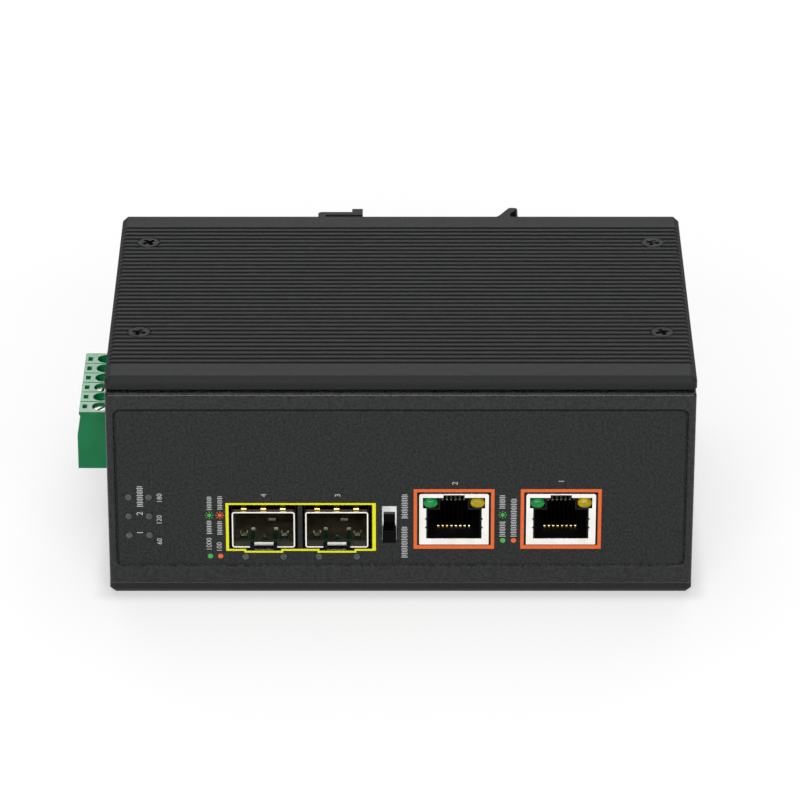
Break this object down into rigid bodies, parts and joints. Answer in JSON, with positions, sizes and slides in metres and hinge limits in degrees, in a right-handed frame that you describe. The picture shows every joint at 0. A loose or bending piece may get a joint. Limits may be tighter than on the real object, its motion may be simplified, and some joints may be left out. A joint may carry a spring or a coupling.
{
  "type": "fibre media converter",
  "caption": "Rail-mounted industrial fibre to copper network converter with ribbed side panels, module cages, shielded jacks, a slide switch, indicator lights and a pluggable power terminal.",
  "frame": {"origin": "centre of the lower ribbed side panel's outer face, on which the converter lies", "axes": "+X along the long side of the front face, away from the power terminal; +Y from the front face to the rail bracket; +Z up through the two side panels. On a wall rail the converter stands with -X up."},
  "size_m": [0.1446, 0.1019, 0.0562],
  "materials": {
    "side_panel_paint": "fine-textured black powder coat on ribbed aluminium",
    "bezel_paint": "fine-textured black powder coat on a cast bezel",
    "chassis_paint": "black powder coat on folded steel",
    "overlay_film": "printed polycarbonate film, velvet texture",
    "black_screw": "black-oxide steel",
    "plated_screw": "zinc-plated steel",
    "board_laminate": "solder-masked glass laminate",
    "brass_pillar": "turned brass, nickel flashed",
    "port_shield": "tin-plated steel sheet",
    "port_insert": "black moulded plastic",
    "gold_contact": "gold-flashed copper alloy",
    "green_lens": "moulded green epoxy",
    "yellow_lens": "moulded yellow epoxy",
    "cage_steel": "nickel-plated steel sheet",
    "light_pipe": "clear moulded acrylic, unlit",
    "switch_steel": "plated steel sheet",
    "black_plastic": "black moulded plastic",
    "terminal_green": "green moulded polyamide",
    "terminal_metal": "tin-plated steel",
    "bracket_black": "black anodised extrusion",
    "spring_steel": "drawn spring wire",
    "ferrite": "sintered ferrite",
    "winding_tape": "yellow polyester tape",
    "inductor_body": "pressed iron powder",
    "capacitor_can": "sleeved aluminium can",
    "chip_plastic": "black epoxy package",
    "plain_aluminium": "sawn aluminium block",
    "thermal_pad": "filled silicone sheet"
  },
  "bodies": {
    "housing": {"top_side_panel": "side_panel_paint", "bottom_side_panel": "side_panel_paint", "top_panel_screws": "black_screw", "bottom_panel_screws": "black_screw", "chassis_frame": "chassis_paint", "front_bezel": "bezel_paint", "front_overlay": "overlay_film", "bezel_screws": "plated_screw", "main_board": "board_laminate", "board_standoffs": "brass_pillar", "board_screws": "plated_screw", "green_port_lights": "green_lens", "yellow_port_lights": "yellow_lens", "mode_switch_shell": "switch_steel", "mode_switch_base": "black_plastic", "status_light_block": "black_plastic", "status_light_lenses": "light_pipe", "fibre_light_pipes": "light_pipe", "terminal_header": "terminal_green", "terminal_header_pins": "terminal_metal", "rail_bracket": "bracket_black", "rail_bracket_screws": "black_screw", "transformer_core": "ferrite", "transformer_winding": "winding_tape", "power_inductors": "inductor_body", "smoothing_capacitors": "capacitor_can", "network_chip": "chip_plastic", "power_chip": "chip_plastic", "heat_block": "plain_aluminium", "thermal_pad": "thermal_pad", "port_1_shield": "port_shield", "port_1_insert": "port_insert", "port_1_contacts": "gold_contact", "port_2_shield": "port_shield", "port_2_insert": "port_insert", "port_2_contacts": "gold_contact", "port_3_cage": "cage_steel", "port_3_spring_collar": "gold_contact", "port_3_host_connector": "black_plastic", "port_4_cage": "cage_steel", "port_4_spring_collar": "gold_contact", "port_4_host_connector": "black_plastic"},
    "mode_switch_knob": {"mode_switch_knob": "black_plastic"},
    "terminal_plug": {"terminal_plug_body": "terminal_green", "terminal_clamp_cages": "terminal_metal", "terminal_clamp_screws": "terminal_metal", "terminal_socket_contacts": "terminal_metal"},
    "rail_spring": {"rail_spring": "spring_steel"}
  },
  "joints": [
    {"name": "mode_switch_slide", "type": "slide", "parent": "housing", "child": "mode_switch_knob", "axis": [0, 0, 1], "range_m": [0, 0.0032]},
    {"name": "terminal_plug_pull", "type": "slide", "parent": "housing", "child": "terminal_plug", "axis": [-1, 0, 0], "range_m": [0, 0.014]},
    {"name": "rail_spring_press", "type": "slide", "parent": "housing", "child": "rail_spring", "axis": [-1, 0, 0], "range_m": [0, 0.0025], "stiffness_N_per_m": 2000}
  ]
}
